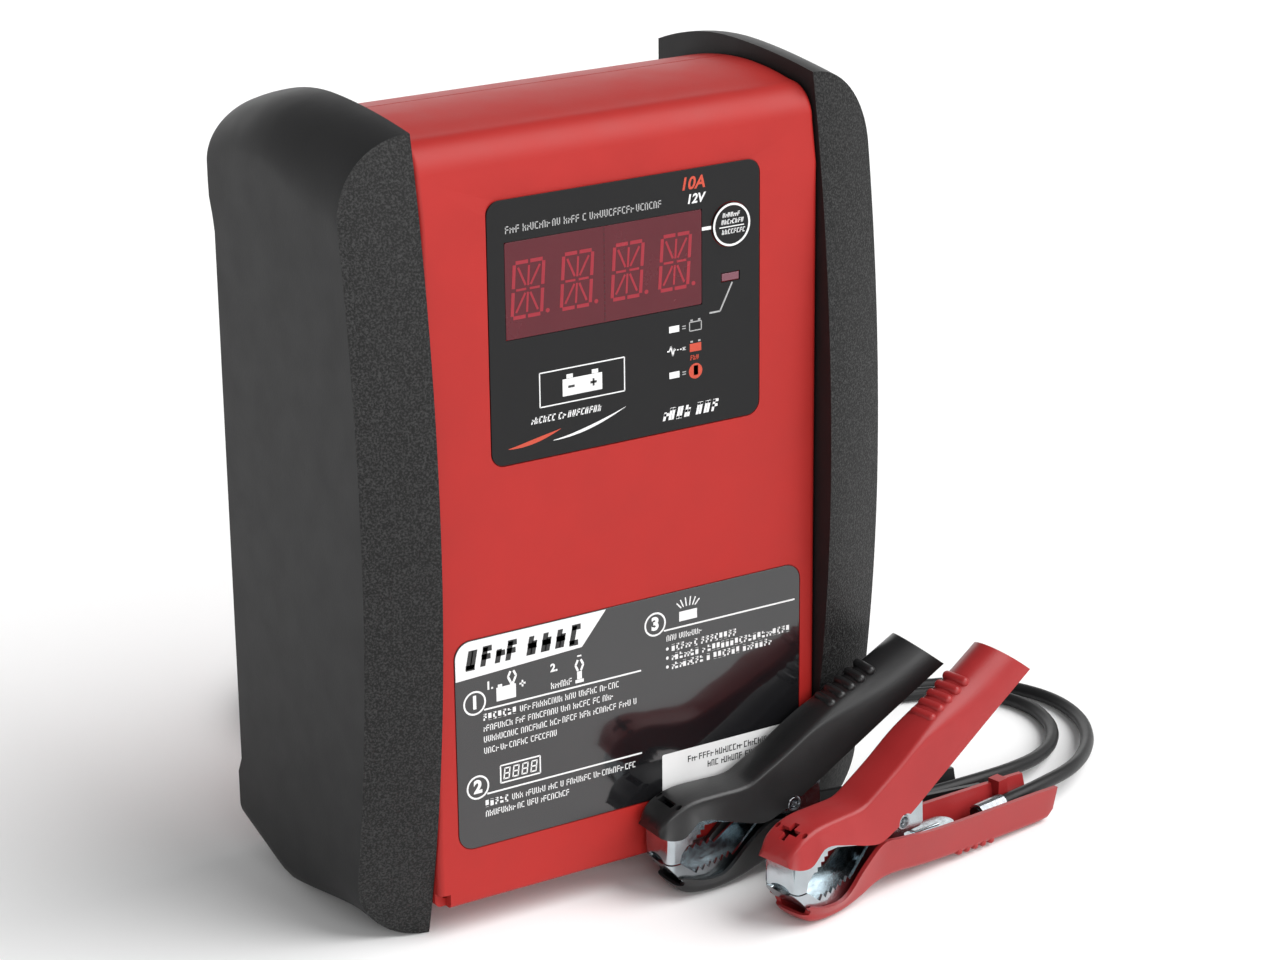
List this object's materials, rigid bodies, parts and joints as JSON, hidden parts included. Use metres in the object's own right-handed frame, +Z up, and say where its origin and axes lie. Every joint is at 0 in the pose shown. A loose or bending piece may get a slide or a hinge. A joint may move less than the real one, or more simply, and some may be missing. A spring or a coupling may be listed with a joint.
{
  "type": "car battery charger",
  "caption": "Upright bench car battery charger: red two-part housing between dark side caps, digital display with a select button, and two leads with sprung battery clamps.",
  "frame": {"origin": "middle of the charger's footprint, on the surface that it stands on", "axes": "+Z up, -Y out of the front with the display, +X to the viewer's right, where the leads come round"},
  "size_m": [0.2783, 0.264, 0.2405],
  "materials": {
    "housing_red": "satin",
    "clamp_red": "satin",
    "cap_charcoal": "matte",
    "black_plastic": "matte",
    "overlay_charcoal": "satin",
    "label_film": "gloss",
    "tinted_window": "gloss",
    "lens_red": "gloss",
    "cord_rubber": "satin",
    "zinc_steel": "satin",
    "copper": "satin",
    "fin_aluminium": "satin",
    "board_green": "satin",
    "ferrite": "matte",
    "capacitor_sleeve": "satin",
    "fuse_glass": "gloss",
    "switch_metal": "satin"
  },
  "bodies": {
    "charger": {"front_shell": "housing_red", "rear_cover": "housing_red", "left_side_cap": "cap_charcoal", "right_side_cap": "cap_charcoal", "display_overlay": "overlay_charcoal", "display_window": "tinted_window", "status_led_lens": "lens_red", "quick_start_label": "label_film", "tactile_switch": "switch_metal", "display_board": "board_green", "digit_module_left": "lens_red", "digit_module_right": "lens_red", "main_board": "board_green", "transformer_core": "ferrite", "transformer_winding": "copper", "heat_sink": "fin_aluminium", "power_transistor_1": "black_plastic", "power_transistor_2": "black_plastic", "mains_capacitor": "capacitor_sleeve", "output_capacitor": "capacitor_sleeve", "output_choke": "copper", "mains_fuse": "fuse_glass", "mains_cord_gland": "black_plastic", "dc_cord_gland": "black_plastic", "dc_cord_to_coil": "cord_rubber", "dc_cord_coil": "cord_rubber", "dc_cord_from_coil": "cord_rubber", "lead_splitter": "cord_rubber", "positive_lead": "cord_rubber", "negative_lead": "cord_rubber", "rear_cover_screw_1": "zinc_steel", "rear_cover_screw_2": "zinc_steel", "rear_cover_screw_3": "zinc_steel", "rear_cover_screw_4": "zinc_steel", "left_cap_screw_1": "zinc_steel", "left_cap_screw_2": "zinc_steel", "right_cap_screw_1": "zinc_steel", "right_cap_screw_2": "zinc_steel", "positive_lower_handle": "clamp_red", "positive_lower_jaw": "zinc_steel", "positive_pivot_rivet": "zinc_steel", "positive_torsion_spring": "zinc_steel", "positive_cable_crimp": "copper", "negative_lower_handle": "black_plastic", "negative_lower_jaw": "zinc_steel", "negative_pivot_rivet": "zinc_steel", "negative_torsion_spring": "zinc_steel", "negative_cable_crimp": "copper"},
    "mode_button": {"selector_button": "black_plastic", "switch_plunger": "black_plastic"},
    "positive_clamp_upper_half": {"positive_upper_handle": "clamp_red", "positive_upper_jaw": "zinc_steel"},
    "negative_clamp_upper_half": {"negative_upper_handle": "black_plastic", "negative_upper_jaw": "zinc_steel"}
  },
  "joints": [
    {"name": "select_button_press", "type": "slide", "parent": "charger", "child": "mode_button", "axis": [0, 1, 0], "range_m": [0, 0.0005], "stiffness_N_per_m": 200, "springref_m": -0.0005},
    {"name": "positive_clamp_hinge", "type": "hinge", "parent": "charger", "child": "positive_clamp_upper_half", "pos_m": [0.06382, -0.07727, 0.022], "axis": [-0.1822, 0.9833, 0], "range_deg": [0, 28], "stiffness_Nm_per_rad": 0.5, "springref_deg": -17.19, "deforming": ["positive_torsion_spring"]},
    {"name": "negative_clamp_hinge", "type": "hinge", "parent": "charger", "child": "negative_clamp_upper_half", "pos_m": [0.04589, -0.04882, 0.022], "axis": [0.0175, 0.9998, 0], "range_deg": [0, 28], "stiffness_Nm_per_rad": 0.5, "springref_deg": -17.19, "deforming": ["negative_torsion_spring"]}
  ]
}
